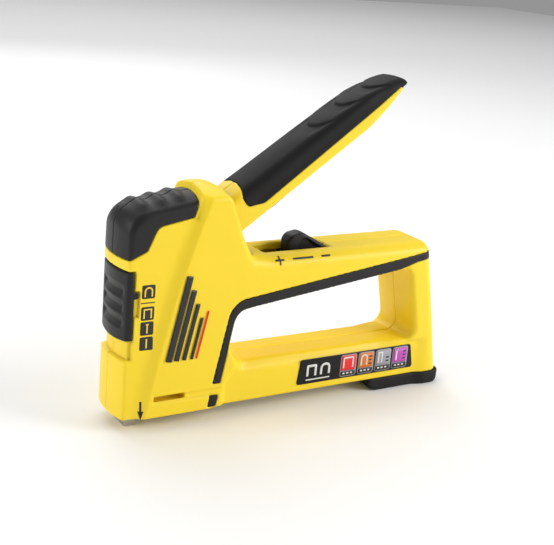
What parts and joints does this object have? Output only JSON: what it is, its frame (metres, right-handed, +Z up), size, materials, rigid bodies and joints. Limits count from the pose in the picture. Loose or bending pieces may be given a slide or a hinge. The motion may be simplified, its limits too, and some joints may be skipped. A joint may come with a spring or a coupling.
{
  "type": "staple gun",
  "caption": "Hand staple gun: squeeze lever over a closed handle, striker in an upright nose, magazine rail with rear foot, selector slide and power adjuster.",
  "frame": {"origin": "the staple exit: centre of the steel nose tip's lower face, on the surface the tool stands on", "axes": "+X from the nose to the tail along the magazine, +Z up along the striker's path, +Y to the side with the screw heads"},
  "size_m": [0.1948, 0.034, 0.1667],
  "materials": {
    "yellow_plastic": "semi-gloss moulded",
    "black_plastic": "fine moulded texture",
    "badge_black": "printed satin",
    "selector_black": "satin moulded",
    "soft_grip": "soft satin",
    "foot_black": "fine moulded texture",
    "stop_rubber": "matt",
    "spring_steel": "drawn wire",
    "dark_steel": "blackened",
    "bright_steel": "ground",
    "plated_steel": "zinc plated",
    "screw_steel": "zinc plated"
  },
  "bodies": {
    "housing": {"left_housing": "yellow_plastic", "right_housing": "yellow_plastic", "left_nose_cover": "black_plastic", "right_nose_cover": "black_plastic", "left_trim_band": "black_plastic", "right_trim_band": "black_plastic", "left_badge": "badge_black", "selector_spring": "spring_steel", "pivot_pin": "bright_steel", "return_spring": "spring_steel", "striker_guide": "plated_steel", "nose_tip": "plated_steel", "stop_pad": "stop_rubber", "power_spring": "dark_steel", "spring_anchor": "bright_steel", "housing_screws": "screw_steel"},
    "lever": {"lever_left_shell": "yellow_plastic", "lever_right_shell": "yellow_plastic", "lever_grip": "soft_grip", "lever_channel": "dark_steel", "lever_screws": "screw_steel", "pivot_sleeve": "bright_steel"},
    "striker": {"striker_block": "dark_steel", "driver_blade": "bright_steel", "lift_pin": "bright_steel"},
    "selector_slide": {"selector": "selector_black"},
    "adjuster": {"adjuster_knob": "black_plastic", "fulcrum_roller": "bright_steel"},
    "magazine": {"magazine_channel": "plated_steel", "magazine_end": "black_plastic", "magazine_foot": "foot_black", "pusher_rod": "bright_steel", "pusher_spring": "spring_steel", "latch_spring": "spring_steel"},
    "pusher_block": {"pusher": "dark_steel"},
    "latch": {"magazine_latch": "foot_black"}
  },
  "joints": [
    {"name": "lever_squeeze", "type": "hinge", "parent": "housing", "child": "lever", "pos_m": [0.038, 0, 0.095], "axis": [0, 1, 0], "range_deg": [0, 25], "stiffness_Nm_per_rad": 3, "springref_deg": -17.19, "deforming": ["return_spring", "power_spring"]},
    {"name": "striker_travel", "type": "slide", "parent": "housing", "child": "striker", "axis": [0, 0, 1], "range_m": [0, 0.015]},
    {"name": "selector_travel", "type": "slide", "parent": "housing", "child": "selector_slide", "axis": [0, 0, -1], "range_m": [0, 0.0084], "deforming": ["selector_spring"]},
    {"name": "power_adjust", "type": "slide", "parent": "housing", "child": "adjuster", "axis": [-1, 0, 0], "range_m": [0, 0.014]},
    {"name": "magazine_pull", "type": "slide", "parent": "housing", "child": "magazine", "axis": [1, 0, 0], "range_m": [0, 0.09]},
    {"name": "pusher_travel", "type": "slide", "parent": "magazine", "child": "pusher_block", "axis": [1, 0, 0], "range_m": [0, 0.085], "stiffness_N_per_m": 60, "springref_m": -0.02, "deforming": ["pusher_spring"]},
    {"name": "latch_press", "type": "slide", "parent": "magazine", "child": "latch", "axis": [-1, 0, 0], "range_m": [0, 0.0014], "stiffness_N_per_m": 500, "springref_m": -0.002, "deforming": ["latch_spring"]}
  ],
  "couplings": [
    {"joint": "striker_travel", "follows": "lever_squeeze", "m_per_rad": 0.034377}
  ]
}
